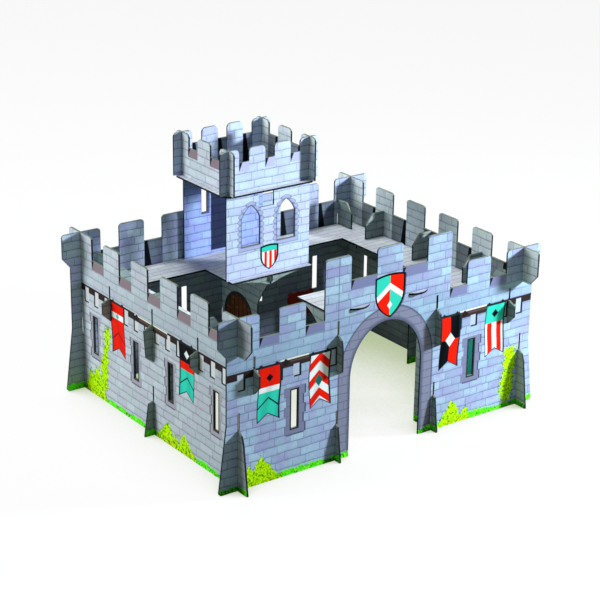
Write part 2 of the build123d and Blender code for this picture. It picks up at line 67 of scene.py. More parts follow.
class Sheet:                                   # the print and finish of one kind of card, in millimetres
    def __init__(self, name):
        self.material = bpy.data.materials.new(name)
        self.material.use_nodes = True
        self.tree = self.material.node_tree
        self.tree.nodes.clear()
        coordinates = self.node("ShaderNodeTexCoord").outputs
        self.place = self.scaled(Field(self, coordinates["Object"]), 1 / mm)
        spread = self.node("ShaderNodeSeparateXYZ", {}, {0: self.place}).outputs
        facing = self.node("ShaderNodeSeparateXYZ", {}, {0: Field(self, coordinates["Normal"])}).outputs
        self.x, self.y, self.z = [Field(self, socket) for socket in spread]
        self.facing = dict(zip("xyz", [Field(self, socket) for socket in facing]))

    def node(self, kind, settings=None, sockets=None):
        made = self.tree.nodes.new(kind)
        for key, value in (settings or {}).items():
            setattr(made, key, value)
        for key, value in (sockets or {}).items():
            if isinstance(value, Field):
                self.tree.links.new(value.socket, made.inputs[key])
            else:
                made.inputs[key].default_value = value
        return made

    def math(self, operation, *values, clamp=False):
        settings = {"operation": operation, "use_clamp": clamp}
        return Field(self, self.node("ShaderNodeMath", settings, dict(enumerate(values))).outputs[0])

    def ramp(self, value, scale, shift):       # value times scale plus shift, held between 0 and 1
        return self.math("MULTIPLY_ADD", value, scale, shift, clamp=True)

    def scaled(self, vector, factor):          # a place or a colour, each part times factor
        made = self.node("ShaderNodeVectorMath", {"operation": "SCALE"}, {0: vector, 3: factor})
        return Field(self, made.outputs[0])

    def paint(self, under, over, cover):       # lays one colour over another where cover is 1
        made = self.node("ShaderNodeMix", {"data_type": "RGBA"}, {0: cover, 6: under, 7: over})
        return Field(self, made.outputs[2])

    def cover(self, depth, soft=0.4):          # 1 where depth is above 0, with a soft edge in millimetres
        return self.ramp(depth, 1 / soft, 0.5)

    def near(self, value, middle, reach):      # how deep inside middle plus or minus reach
        return reach - abs(value - middle)

    def box(self, u, v, left, right, low, high):
        across = self.near(u, (left + right) / 2, (right - left) / 2)
        return across & self.near(v, (low + high) / 2, (high - low) / 2)

    def noise(self, size, detail=2.0, where=None, rough=0.5):
        made = self.node("ShaderNodeTexNoise", {}, {
            "Vector": where or self.place, "Scale": 1 / size, "Detail": detail, "Roughness": rough,
        })
        return Field(self, made.outputs[0])

    def point(self, u, v):
        return Field(self, self.node("ShaderNodeCombineXYZ", {}, {0: u, 1: v}).outputs[0])

    def dice(self, u, v):                      # a fixed random number for each whole-number cell
        made = self.node("ShaderNodeTexWhiteNoise", {"noise_dimensions": "2D"}, {"Vector": self.point(u, v)})
        return Field(self, made.outputs[0])


# Stonework: every card is printed with courses of blocks

courses = {
    "height": 8.72, "first": 8.4, "block": 19.0, "slide": 7.1,
    "sway": 2.6, "swayLength": 8.5, "swayStep": 2.3, "wobble": 0.9, "wobbleSize": 16.0,
    "jointWidth": 0.85, "jointSoft": 0.9, "jointInk": 0.92, "jointPatch": 4.0, "patchRamp": (1.3, 0.1),
    "uprightThinner": 0.15, "cloudSize": 15.0, "cloudTone": 0.12, "cloudRamp": (4.0, -1.9), "cloudInk": 0.75,
    "grainSize": 1.2, "grainRamp": (3.2, -1.35), "grainInk": 0.34, "footHeight": 3.0, "footInk": 0.16,
}


def stonePalette(pale, deep, joint, cloud):
    return {"pale": ink(*pale), "deep": ink(*deep), "joint": ink(*joint), "cloud": ink(*cloud)}


stones = {
    "front": stonePalette((168, 196, 220), (146, 168, 198), (78, 90, 122), (154, 150, 202)),
    "side": stonePalette((199, 211, 221), (181, 194, 204), (90, 102, 116), (191, 187, 208)),
    # far: a darker copy of the side stone, painted shade for the faces the key lamp lights most
    "far": stonePalette((154, 168, 184), (136, 150, 166), (66, 78, 94), (144, 144, 174)),
    "tower": stonePalette((200, 218, 238), (184, 203, 228), (94, 114, 148), (192, 192, 234)),
    "inside": stonePalette((226, 240, 238), (206, 221, 220), (94, 112, 110), (206, 211, 228)),
    "brace": stonePalette((152, 168, 166), (132, 148, 147), (66, 80, 80), (136, 146, 152)),
    "deck": stonePalette((226, 229, 236), (208, 213, 220), (138, 146, 156), (218, 212, 230)),
    "insideBack": stonePalette((180, 198, 214), (160, 178, 198), (64, 78, 100), (166, 166, 214)),
    "towerBack": stonePalette((166, 190, 238), (144, 170, 228), (66, 80, 138), (156, 156, 230)),
}


def stonework(sheet, u, v, kind):              # the printed blocks, and where their joints run
    c = courses
    palette = stones[kind]
    drift = sheet.noise(c["wobbleSize"], 1.0) - 0.5
    v = v + drift * (c["wobble"] * 2)
    row = sheet.math("FLOOR", (v - c["first"]) / c["height"])
    rise = v - c["first"] - row * c["height"]
    bed = rise & (c["height"] - rise)
    along = u + row * c["slide"] + sheet.math("SINE", u / c["swayLength"] + row * c["swayStep"]) * c["sway"]
    column = sheet.math("FLOOR", along / c["block"])
    run = along - column * c["block"]
    upright = (run & (c["block"] - run)) + c["uprightThinner"]
    tone = sheet.dice(column, row)
    blocks = sheet.paint(palette["pale"], palette["deep"], tone)
    clouds = sheet.noise(c["cloudSize"], 4.0, rough=0.7) + tone * c["cloudTone"]
    blocks = sheet.paint(blocks, palette["cloud"], sheet.ramp(clouds, *c["cloudRamp"]) * c["cloudInk"])
    foot = sheet.ramp(rise, -1 / c["footHeight"], 1.0)
    blocks = sheet.paint(blocks, palette["joint"], foot * c["footInk"])
    grain = sheet.ramp(sheet.noise(c["grainSize"], 3.0, rough=0.8), *c["grainRamp"])
    blocks = sheet.paint(blocks, palette["joint"], grain * c["grainInk"])
    line = 1 - sheet.cover((bed & upright) - c["jointWidth"] / 2, c["jointSoft"])
    gain, least = c["patchRamp"]
    line = line * (sheet.noise(c["jointPatch"], 1.0) * gain + least)
    return sheet.paint(blocks, palette["joint"], line * c["jointInk"]), line


def blockwork(sheet, u, v, kind):
    return stonework(sheet, u, v, kind)[0]


# Cut card: printed faces, and dark cut edges with a painted highlight on the edges that face up

card = {
    "side": ink(34, 40, 42), "top": ink(112, 120, 106), "faceRough": 0.52, "edgeRough": 0.85, "gloss": 0.02,
    "fibre": 0.9, "fibreStrength": 0.25, "fibreDepth": 0.00012, "paintedHighlightFrom": 0.5, "faceFrom": 0.6,
}


def cardFinish(sheet, axis, outward, front, back):
    across = sheet.facing[axis] * outward
    edge = card["side"]
    if axis != "z":
        # painted highlight: cut edges that face up are painted lighter than side edges, as if lit from above
        edge = sheet.paint(card["side"], card["top"], sheet.cover(sheet.facing["z"] - card["paintedHighlightFrom"], 0.2))
    onFront = sheet.cover(across - card["faceFrom"], 0.1)
    onBack = sheet.cover(-card["faceFrom"] - across, 0.1)
    colour = sheet.paint(sheet.paint(edge, back, onBack), front, onFront)
    rough = card["edgeRough"] - (onFront | onBack) * (card["edgeRough"] - card["faceRough"])
    fibres = sheet.noise(card["fibre"], 3.0)
    bump = sheet.node("ShaderNodeBump", {}, {
        "Strength": card["fibreStrength"], "Distance": card["fibreDepth"], "Height": fibres,
    })
    shader = sheet.node("ShaderNodeBsdfPrincipled", {}, {
        "Base Color": colour, "Roughness": rough, "Specular IOR Level": card["gloss"],
        "Normal": Field(sheet, bump.outputs[0]),
    })
    output = sheet.node("ShaderNodeOutputMaterial")
    sheet.tree.links.new(shader.outputs[0], output.inputs[0])
    return sheet.material


def dress(material, *nodes):
    for name in nodes:
        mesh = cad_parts[name].data
        mesh.materials.clear()
        mesh.materials.append(material)


# Printed details of the curtain walls

trim = {
    "bar": ink(44, 34, 34), "shade": ink(24, 30, 36), "dusk": ink(10, 14, 18), "frame": ink(40, 46, 48),
    "sill": ink(116, 120, 160), "sillWarm": ink(130, 114, 124), "sillFarShaded": ink(112, 98, 108),
    "surround": ink(116, 120, 152), "surroundWarm": ink(152, 150, 164), "surroundDark": ink(68, 72, 96),
    "arch": ink(122, 125, 150), "archDeep": ink(74, 82, 106), "crack": ink(86, 110, 140),
    "pole": ink(50, 40, 42), "poleGloss": ink(104, 82, 80), "poleLight": ink(232, 234, 222),
    "knot": ink(34, 28, 34),
}
cloth = {
    "red": ink(228, 26, 6), "darkRed": ink(128, 14, 18),
    "teal": ink(46, 196, 174), "darkTeal": ink(18, 110, 102),
    "white": ink(226, 232, 236), "black": ink(4, 4, 6), "outline": ink(16, 34, 44),
}

crenelShade = {
    "over": 1, "tall": 9.5, "wedge": 4.2, "lean": 0.42, "wedgeTall": 9,
    "innerInk": 0.72, "innerWedge": 4.0, "innerLean": 0.16,
}


def sillBands(sheet, colour, u, spec):
    # A shaded band under each crenel, with a dark wedge at one end
    c = crenelShade
    for left, right, floor in spec["crenels"]:
        band = sheet.box(u, sheet.z, left, right, floor - c["tall"], floor + c["over"])
        colour = sheet.paint(colour, spec["sill"], sheet.cover(band))
        start = left if spec["wedge"] > 0 else right
        inward = (u - start) * spec["wedge"]
        wedge = inward & (c["wedge"] - inward - (floor - sheet.z) * c["lean"])
        wedge = wedge & (floor + c["over"] - sheet.z) & (sheet.z - floor + c["wedgeTall"])
        colour = sheet.paint(colour, trim["shade"], sheet.cover(wedge, 0.6))
    return colour


def innerBands(sheet, colour, u, crenels, dusk, low):
    # Inside, the stone below each crenel is drawn in shade, with a black wedge at one end
    c = crenelShade
    for left, right, floor in crenels:
        band = sheet.box(u, sheet.z, left, right, low, floor + c["over"])
        colour = sheet.paint(colour, dusk, sheet.cover(band, 0.7) * c["innerInk"])
        inward = u - left
        wedge = inward & (c["innerWedge"] - inward + (floor - sheet.z) * c["innerLean"]) & band
        colour = sheet.paint(colour, trim["dusk"], sheet.cover(wedge, 0.7))
    return colour


tooth = {
    "bar": 7.5, "wide": 6.8, "head": 2.2, "foot": 17.6,
    "shadeLeft": 0.8, "shadeRight": 9.2, "shadeHead": 3.0, "shadeFoot": 19.2,
}


def machicolation(sheet, colour, u, spec):
    # A dark bar with light teeth that hang out of it, each with its drawn shadow
    for run in spec["teeth"]:
        left, right, top = run["left"], run["right"], run["top"]
        bar = sheet.box(u, sheet.z, left, right, top - tooth["bar"], top)
        colour = sheet.paint(colour, trim["bar"], sheet.cover(bar))
        step = sheet.math("FLOORED_MODULO", u - run["first"], run["pitch"])
        inRun = sheet.near(u, (left + right) / 2, (right - left) / 2)
        sides = (tooth["shadeLeft"], tooth["shadeRight"])
        shade = sheet.box(step, sheet.z, *sides, top - tooth["shadeFoot"], top - tooth["shadeHead"])
        stone = sheet.box(step, sheet.z, 0.0, tooth["wide"], top - tooth["foot"], top - tooth["head"])
        colour = sheet.paint(colour, trim["shade"], sheet.cover(shade & inRun))
        colour = sheet.paint(colour, spec["tooth"], sheet.cover(stone & inRun))
    return colour


slot = {
    "foot": 42.5, "middle": 67.0, "half": 24.5,
    "quoinPair": 19.6, "narrowQuoin": 14.7, "quoinHalf": 4.9, "step": 2.2,
    "rim": 0.9, "shadow": 0.6, "shadowMiddle": 66.4, "shadowHalf": 25.0,
    "bedPitch": 9.8, "bedHalf": 0.5, "bedInk": 0.45, "frame": 5.3, "frameMiddle": 68.25, "frameHalf": 21.3,
}


def slotWindows(sheet, colour, u, spec):
    # Quoins of two widths stand around each slot window
    for middle in spec["windows"]:
        off = abs(u - middle)
        rise = sheet.z - slot["foot"]
        quoin = sheet.math("FLOORED_MODULO", rise, slot["quoinPair"])
        narrow = sheet.cover(sheet.near(quoin, slot["narrowQuoin"], slot["quoinHalf"]), 0.3)
        width = spec["quoin"] - narrow * slot["step"]
        stone = (width - off) & sheet.near(sheet.z, slot["middle"], slot["half"])
        dark = (width + slot["rim"]) - abs(u - middle - slot["shadow"])
        dark = dark & sheet.near(sheet.z, slot["shadowMiddle"], slot["shadowHalf"])
        colour = sheet.paint(colour, trim["surroundDark"], sheet.cover(dark))
        colour = sheet.paint(colour, spec["surround"], sheet.cover(stone))
        bed = sheet.near(sheet.math("FLOORED_MODULO", rise, slot["bedPitch"]), 0.0, slot["bedHalf"])
        beds = sheet.cover(bed) * sheet.cover(stone)
        colour = sheet.paint(colour, trim["surroundDark"], beds * slot["bedInk"])
        inner = (slot["frame"] - off) & sheet.near(sheet.z, slot["frameMiddle"], slot["frameHalf"])
        colour = sheet.paint(colour, trim["frame"], sheet.cover(inner))
    return colour


gate = {
    "middle": -1.2, "half": 44.2, "spring": 82.0, "rise": 52.0, "band": 15.0, "lead": 1.4, "lip": 3.0,
    "lipInk": 0.8, "jointInk": 0.9,
}


def gateArch(sheet, colour, u, lines):
    off = abs(u - gate["middle"])
    climb = (sheet.z - gate["spring"]) | 0.0

    def within(extra):                         # depth inside the arch when it is widened by extra
        a = off / (gate["half"] + extra)
        b = climb / (gate["rise"] + extra)
        return (1 - sheet.math("SQRT", a * a + b * b)) * (gate["half"] + extra)

    band = within(gate["band"])
    lip = sheet.cover(within(gate["lip"]), gate["lip"])
    colour = sheet.paint(colour, trim["archDeep"], sheet.cover(band, 1.2))
    colour = sheet.paint(colour, trim["arch"], sheet.cover(band - gate["lead"], 1.5))
    colour = sheet.paint(colour, trim["archDeep"], lip * gate["lipInk"])
    return sheet.paint(colour, trim["archDeep"], lines * sheet.cover(band) * gate["jointInk"])


# Shields and banners, with plain divisions

shieldCut = {"straight": 0.31, "curved": 0.69, "brow": 2.2, "browDip": 0.12}
gateShieldPlan = {
    "middle": 0.6, "top": 181.6, "wide": 37.0, "tall": 45.2, "rim": 2.1,
    "shadowSide": 1.2, "shadowDown": 0.8, "slope": 0.75, "chevron": 13.0, "chevronHalf": 3.2,
    "lozenge": 32.5, "lozengeHalf": 4.2, "lozengeSlope": 1.3, "shadowInk": 0.8,
}
towerShieldPlan = {
    "middle": 0.0, "top": 152.6, "wide": 23.0, "tall": 28.0, "rim": 1.9, "outline": 0.3,
    "stripe": 3.1, "stripeShift": 1.5, "stripeFrom": 1.5, "bar": 7.5,
}


def shieldShape(sheet, u, v, spec):
    # Straight sides that curve in to a point below
    cut = shieldCut
    off = abs(u - spec["middle"])
    drop = spec["top"] - v
    turn = sheet.ramp(drop - spec["tall"] * cut["straight"], 1 / (spec["tall"] * cut["curved"]), 0.0)
    half = (1 - turn * turn * turn) * spec["wide"] / 2
    brow = drop - off * off * (cut["brow"] / spec["wide"]) * cut["browDip"]
    return (half - off) & brow & (spec["tall"] - drop), off, drop


def gateShield(sheet, colour, u):
    spec = gateShieldPlan
    depth, off, drop = shieldShape(sheet, u, sheet.z, spec)
    shadow, _, _ = shieldShape(sheet, u - spec["shadowSide"], sheet.z + spec["shadowDown"], spec)
    colour = sheet.paint(colour, cloth["outline"], sheet.cover(shadow) * spec["shadowInk"])
    colour = sheet.paint(colour, cloth["black"], sheet.cover(depth))
    right = sheet.cover(u - spec["middle"])
    left = sheet.cover(spec["middle"] - u)
    fall = drop - off * spec["slope"]
    chevron = sheet.cover(sheet.near(fall, spec["chevron"], spec["chevronHalf"]))
    below = sheet.cover(fall - (spec["chevron"] + spec["chevronHalf"]))
    field = sheet.paint(cloth["teal"], cloth["red"], right)
    field = sheet.paint(field, cloth["white"], chevron)
    field = sheet.paint(field, cloth["red"], below * left)
    field = sheet.paint(field, cloth["teal"], below * right)
    lozenge = spec["lozengeHalf"] - off * spec["lozengeSlope"] - abs(drop - spec["lozenge"])
    field = sheet.paint(field, cloth["white"], sheet.cover(lozenge))
    return sheet.paint(colour, field, sheet.cover(depth - spec["rim"]))


def towerShield(sheet, colour, u):
    spec = towerShieldPlan
    depth, off, drop = shieldShape(sheet, u, sheet.z, spec)
    colour = sheet.paint(colour, cloth["darkTeal"], sheet.cover(depth + spec["outline"]))
    colour = sheet.paint(colour, cloth["black"], sheet.cover(depth - spec["outline"]))
    stripes = sheet.math("PINGPONG", u - spec["middle"] + spec["stripeShift"], spec["stripe"])
    field = sheet.paint(cloth["white"], cloth["red"], sheet.cover(stripes - spec["stripeFrom"]))
    field = sheet.paint(field, cloth["teal"], sheet.cover(spec["bar"] - drop))
    return sheet.paint(colour, field, sheet.cover(depth - spec["rim"]))


# Each banner: where its fields change, and middle and half height of its bands, lozenges and creases
designs = {
    "bandOverTeal": {"change": 23.0, "band": (22.5, 2.6), "lozenge": (11.0, 4.0), "crease": (31.0, 0.9)},
    "chevrons": {"slope": 0.9, "shift": 60.0, "pitch": 9.0, "from": 4.6, "lozenge": (27.0, 6.5),
                 "narrow": 1.4},
    "quarters": {"change": 25.0, "half": 6.0, "flat": 0.8},
    "stripesUnderTeal": {"shift": 62.0, "pitch": 6.2, "from": 3.1, "change": 19.0, "lozenge": (9.5, 4.4)},
    "redWithBar": {"band": (13.0, 3.0), "lozenge": (13.0, 3.2), "crease": (30.0, 0.9)},
    "blackOverTeal": {"change": 18.0, "second": 26.0, "lozenge": (9.5, 4.4), "crease": (33.0, 0.8)},
}
creaseSlope = 0.8


def bandOn(sheet, field, colour, q, place):
    return sheet.paint(field, cloth[colour], sheet.cover(sheet.near(q, *place)))


def lozengeOn(sheet, field, colour, p, q, place):
    drop, half = place
    return sheet.paint(field, cloth[colour], sheet.cover(half - abs(p) - abs(q - drop)))


def creaseOn(sheet, field, colour, p, q, place):
    return bandOn(sheet, field, colour, q - abs(p) * creaseSlope, place)


def pennantField(sheet, p, q, design):
    # p runs across from the middle of the cloth, q down from its top
    d = designs[design]
    if design == "bandOverTeal":
        field = sheet.paint(cloth["red"], cloth["teal"], sheet.cover(q - d["change"]))
        field = bandOn(sheet, field, "white", q, d["band"])
        field = lozengeOn(sheet, field, "black", p, q, d["lozenge"])
        return creaseOn(sheet, field, "outline", p, q, d["crease"])
    if design == "chevrons":
        wave = sheet.math("PINGPONG", q - abs(p) * d["slope"] + d["shift"], d["pitch"])
        field = sheet.paint(cloth["white"], cloth["red"], sheet.cover(wave - d["from"]))
        return lozengeOn(sheet, field, "darkTeal", p * d["narrow"], q, d["lozenge"])
    if design == "quarters":
        below = q - d["change"]
        odd = abs(sheet.cover(p) - sheet.cover(below))
        field = sheet.paint(cloth["red"], cloth["black"], odd)
        return sheet.paint(field, cloth["white"], sheet.cover(d["half"] - abs(p) - abs(below) * d["flat"]))
    if design == "stripesUnderTeal":
        stripes = sheet.math("PINGPONG", p + d["shift"], d["pitch"])
        field = sheet.paint(cloth["white"], cloth["red"], sheet.cover(stripes - d["from"]))
        field = sheet.paint(field, cloth["teal"], sheet.cover(d["change"] - q))
        return lozengeOn(sheet, field, "black", p, q, d["lozenge"])
    if design == "redWithBar":
        field = bandOn(sheet, cloth["red"], "white", q, d["band"])
        field = lozengeOn(sheet, field, "teal", p, q, d["lozenge"])
        return creaseOn(sheet, field, "darkRed", p, q, d["crease"])
    field = sheet.paint(cloth["black"], cloth["red"], sheet.cover(q - d["change"]))
    field = sheet.paint(field, cloth["teal"], sheet.cover(q - d["second"]))
    field = lozengeOn(sheet, field, "white", p, q, d["lozenge"])
    return creaseOn(sheet, field, "outline", p, q, d["crease"])


pole = {
    "tall": 6.0, "glossHead": 1.6, "glossFoot": 3.2, "glossInk": 0.6,
    "lightHead": 1.1, "lightFoot": 0.4, "lightInk": 0.9,
    "knot": 5.6, "knotFlat": 1.5, "knotPatch": 3.0, "knotRagged": 4.0,
}
banner = {
    "swing": 1.1, "swingLength": 11.0, "notch": 7.5, "shadowSide": 1.5, "shadowFoot": 0.6, "rim": 0.7,
    "hem": 0.4, "knot": 3.4, "knotInset": 3, "knotNarrow": 0.8, "knotRise": 0.5,
    "foldPitch": 2.6, "foldSlope": 14.0, "foldRamp": (0.22, 0.1), "foldInk": 0.6,
}


def polesOn(sheet, colour, u, spec):
    # Each pole has a gloss line and a light upper edge, and some carry a tied knot
    for left, right, height in spec["poles"]:
        wood = sheet.box(u, sheet.z, left, right, height - pole["tall"], height)
        colour = sheet.paint(colour, trim["pole"], sheet.cover(wood))
        gloss = sheet.box(u, sheet.z, left, right, height - pole["glossFoot"], height - pole["glossHead"])
        colour = sheet.paint(colour, trim["poleGloss"], sheet.cover(gloss, 1.2) * pole["glossInk"])
        light = sheet.box(u, sheet.z, left, right, height - pole["lightFoot"], height + pole["lightHead"])
        colour = sheet.paint(colour, trim["poleLight"], sheet.cover(light, 0.7) * pole["lightInk"])
    for middle, height in spec["knots"]:
        knot = pole["knot"] - abs(u - middle) - abs(sheet.z - height) * pole["knotFlat"]
        knot = knot + (sheet.noise(pole["knotPatch"], 1.0) - 0.5) * pole["knotRagged"]
        colour = sheet.paint(colour, trim["knot"], sheet.cover(knot, 0.9))
    return colour


def pennants(sheet, colour, u, spec):
    # Swallow-tailed cloths that hang from the poles by a knot at each corner
    for flag in spec["pennants"]:
        q = flag["top"] - sheet.z
        swing = sheet.math("SINE", q / banner["swingLength"] + flag["phase"]) * banner["swing"]
        p = u - flag["middle"] - swing
        half = flag["wide"] / 2
        tail = flag["tall"] - banner["notch"] + abs(p) * (banner["notch"] / half)
        depth = (half - abs(p)) & q & (tail - q)
        shadow = (half - abs(p - banner["shadowSide"])) & q & (tail + banner["shadowFoot"] - q)
        for side in (-1, 1):
            aside = abs(u - flag["middle"] - side * (half - banner["knotInset"])) * banner["knotNarrow"]
            knot = banner["knot"] - aside - abs(q + banner["knotRise"])
            colour = sheet.paint(colour, trim["knot"], sheet.cover(knot, 0.8))
        colour = sheet.paint(colour, cloth["outline"], sheet.cover(shadow | (depth + banner["rim"])))
        ripple = sheet.math("SINE", p / banner["foldPitch"] + q / banner["foldSlope"])
        folds = sheet.ramp(ripple, *banner["foldRamp"]) * banner["foldInk"]
        field = pennantField(sheet, p, q, flag["design"])
        field = sheet.paint(field, cloth["outline"], folds)
        colour = sheet.paint(colour, field, sheet.cover(depth - banner["hem"]))
    return colour


# Grass, bushes and ivy along the foot of the walls

leaves = {
    "grass": ink(78, 222, 26), "grassDark": ink(26, 110, 14), "grassPale": ink(140, 246, 52),
    "bush": ink(190, 234, 12), "bushDeep": ink(122, 194, 4), "bushDark": ink(34, 74, 12),
    "bushBrown": ink(150, 128, 30),
}
grassCut = {
    "wide": 1.9, "tall": 4.5, "lean": 0.5, "slope": 0.15, "tuft": 13.0, "tuftRise": 9.0, "bladeRise": 8.0,
    "paleRamp": (4.0, -1.9), "tuftShare": 0.7, "darkRamp": (-5.0, 4.25),
}
bushCut = {
    "clump": 4.2, "ragged": 17.0, "swell": 0.6, "leaf": 2.6, "brownHeight": 6.0, "outline": 1.1,
    "paleRamp": (7.0, -3.0), "darkRamp": (-14.0, 5.8), "brownRamp": (9.0, -0.4), "edgeRamp": (-6.0, 3.4),
}


def turf(sheet, colour, u, height):
    # Short blades that lean a little, with darker tufts among them
    c = grassCut
    slant = sheet.point((u + sheet.z * c["lean"]) / c["wide"], (sheet.z - u * c["slope"]) / c["tall"])
    blades = sheet.noise(1.0, 2.0, slant)
    tufts = sheet.noise(c["tuft"], 1.0)
    low = height + (tufts - 0.5) * c["tuftRise"] + (blades - 0.5) * c["bladeRise"]
    grass = sheet.paint(leaves["grass"], leaves["grassPale"], sheet.ramp(blades, *c["paleRamp"]))
    dark = sheet.ramp(tufts * c["tuftShare"] + blades, *c["darkRamp"])
    grass = sheet.paint(grass, leaves["grassDark"], dark)
    return sheet.paint(colour, grass, sheet.cover(low - sheet.z, 1.0))


def shrubShape(sheet, u, spec):
    # Mounds: middle, peak, left run, right run. Climbers: foot, head, foot height, head height, half width.
    shape = None
    for middle, peak, leftRun, rightRun in spec["mounds"]:
        off = u - middle
        slope = (off * (-1 / leftRun)) | (off * (1 / rightRun))
        mound = (1 - slope) * peak - sheet.z
        shape = mound if shape is None else shape | mound
    for foot, head, low, high, half in spec["climbers"]:
        along = sheet.ramp(sheet.z, 1 / (high - low), -low / (high - low))
        axis = u - foot - along * (head - foot)
        rise = sheet.z - low - along * (high - low)
        stem = half - sheet.math("SQRT", axis * axis + rise * rise)
        shape = stem if shape is None else shape | stem
    return shape


def shrubs(sheet, colour, u, spec):
    c = bushCut
    clumps = sheet.noise(c["clump"], 2.0, rough=0.6) - 0.5
    ragged = shrubShape(sheet, u, spec) + clumps * c["ragged"] + c["swell"]
    tone = sheet.noise(c["leaf"], 2.0, rough=0.7)
    leafy = sheet.paint(leaves["bushDeep"], leaves["bush"], sheet.ramp(tone, *c["paleRamp"]))
    leafy = sheet.paint(leafy, leaves["bushDark"], sheet.ramp(tone, *c["darkRamp"]))
    low = sheet.cover(c["brownHeight"] - sheet.z, c["brownHeight"])
    leafy = sheet.paint(leafy, leaves["bushBrown"], low * sheet.ramp(clumps, *c["brownRamp"]))
    edge = sheet.cover(ragged + c["outline"], 0.8)
    colour = sheet.paint(colour, leaves["bushDark"], edge * sheet.ramp(tone, *c["edgeRamp"]))
    return sheet.paint(colour, leafy, sheet.cover(ragged, 0.7))


# The four curtain walls. Lengths run along the wall, in millimetres from its middle.

sideCrenel = {"count": 5, "first": -93.45, "pitch": 54.3, "left": 27.3, "right": 3.0, "floor": 149.5}
sideCrenels = []
for step in range(sideCrenel["count"]):
    post = sideCrenel["first"] + step * sideCrenel["pitch"]
    sideCrenels.append((post - sideCrenel["left"], post - sideCrenel["right"], sideCrenel["floor"]))

curtainWalls = {
    "front_wall": {
        "axis": "y", "outward": -1, "corner": 176, "wedge": 1, "grass": 6.5, "quoin": 11.8,
        "stone": "front", "inner": "inside", "upper": ink(112, 150, 172), "tooth": ink(168, 178, 202),
        "sill": trim["sill"], "surround": trim["surround"],
        "crenels": [(-152, -129.5, 149.5), (-99.5, -77, 149.5), (77, 99.5, 149.5), (129.5, 152, 149.5),
                    (-47, -15.5, 184), (15.5, 47, 184)],
        "windows": (-111.2, 108.8),
        "teeth": [{"left": -188.5, "right": -61.5, "first": -176.5, "pitch": 21.2, "top": 120.5},
                  {"left": 61.5, "right": 188.5, "first": 65.2, "pitch": 20.4, "top": 121.5}],
        "poles": [(-128, -95, 120.6), (92, 127, 121.0)],
        "knots": [(-122, 118), (98, 118)],
        "pennants": [
            {"middle": -141.0, "top": 118.5, "wide": 24.0, "tall": 54.0, "phase": 0.6,
             "design": "bandOverTeal"},
            {"middle": -82.0, "top": 118.0, "wide": 23.0, "tall": 54.0, "phase": 2.4, "design": "chevrons"},
            {"middle": 79.5, "top": 119.5, "wide": 23.0, "tall": 55.0, "phase": 0.2, "design": "quarters"},
            {"middle": 139.5, "top": 119.5, "wide": 24.0, "tall": 55.0, "phase": 2.8,
             "design": "stripesUnderTeal"},
        ],
        "mounds": [(-150, 29, 16, 24), (-164, 22, 6, 16), (88, 26, 22, 14), (105, 19, 9, 6)],
        "climbers": [(160, 163, 16, 60, 7.5)],
    },
    "left_wall": {
        "axis": "x", "outward": -1, "corner": 145.5, "wedge": -1, "grass": 6.0, "quoin": 9.8,
        "stone": "side", "inner": "inside", "upper": ink(150, 168, 182), "tooth": ink(196, 198, 202),
        "sill": trim["sillWarm"], "surround": trim["surroundWarm"],
        "crenels": sideCrenels,
        "windows": (-109.5, -29.0, 36.0, 116.5),
        "teeth": [{"left": -144, "right": 144, "first": -108.0, "pitch": 19.7, "top": 119.5}],
        "poles": [(-24, 37, 118.0)],
        "knots": [(33, 116)],
        "pennants": [
            {"middle": 70.0, "top": 117.5, "wide": 24.0, "tall": 54.0, "phase": 0.6, "design": "redWithBar"},
            {"middle": -58.5, "top": 117.5, "wide": 24.0, "tall": 55.0, "phase": 2.4,
             "design": "blackOverTeal"},
        ],
        "mounds": [(-24, 24, 15, 24), (-52, 22, 22, 14), (-37, 17, 9, 9),
                   (114, 35, 19, 26), (128, 30, 12, 12)],
        "climbers": [(101, 99, 20, 44, 6.0), (98, 92, 44, 80, 4.6)],
    },
    # the right wall's stone, upper band, teeth and sills are painted darker than the left wall's: painted
    # shade against the key lamp
    "right_wall": {
        "axis": "x", "outward": 1, "corner": 145.5, "wedge": 1, "grass": 6.5, "quoin": 9.8,
        "stone": "far", "inner": "inside", "upper": ink(112, 130, 146), "tooth": ink(164, 172, 190),
        "sill": trim["sillFarShaded"], "surround": trim["surround"],
        "crenels": sideCrenels,
        "windows": (-113.0, -32.5, 32.5, 113.0),
        "teeth": [{"left": -144, "right": 144, "first": -128.0, "pitch": 19.7, "top": 119.5}],
        "poles": [], "knots": [], "pennants": [],
        "mounds": [(-66, 24, 18, 24), (88, 28, 22, 16)], "climbers": [],
    },
    "back_wall": {
        "axis": "y", "outward": 1, "corner": 176, "wedge": -1, "grass": 6.5, "quoin": 11.8,
        "stone": "front", "inner": "insideBack", "upper": ink(112, 150, 172), "tooth": ink(168, 178, 202),
        "sill": trim["sill"], "surround": trim["surround"],
        "crenels": [(-152, -129.5, 149.5), (-99.5, -77, 149.5), (-47, -15.5, 149.5), (15.5, 47, 149.5),
                    (77, 99.5, 149.5), (129.5, 152, 149.5)],
        "windows": (-126.0, -50.0, 50.0, 126.0),
        "teeth": [{"left": -188.5, "right": 188.5, "first": -176.5, "pitch": 20.8, "top": 120.5}],
        "poles": [], "knots": [], "pennants": [],
        "mounds": [(-92, 26, 22, 18), (78, 24, 18, 26), (104, 18, 12, 14)], "climbers": [],
    },
}
drapes = {                                     # inside: left, right, foot, head, colour
    "back_wall": [(88, 125, 18, 50, ink(158, 46, 32))],
    "right_wall": [(-60, 60, 62, 100, ink(98, 82, 74)), (-84, -56, 4, 50, ink(72, 214, 204))],
}
drapeCut = {"patch": 7.0, "ragged": 10.0, "soft": 2.0}
wallShade = {
    "waist": 126.0, "waistHalf": 22.0, "waistSoft": 24.0, "waistInk": 0.3,
    "gateEndShade": ink(90, 104, 112), "gateEndInk": 0.28, "gateEndRun": 290,
    "deckLine": 119.0, "underDeckShade": ink(70, 78, 82), "underDeckInk": 0.4, "crenel": ink(30, 42, 54),
    "earPaintedLight": 0.55,
}
wallCrack = {"left": -61.6, "right": -60.6, "foot": 145, "head": 210, "ink": 0.8}


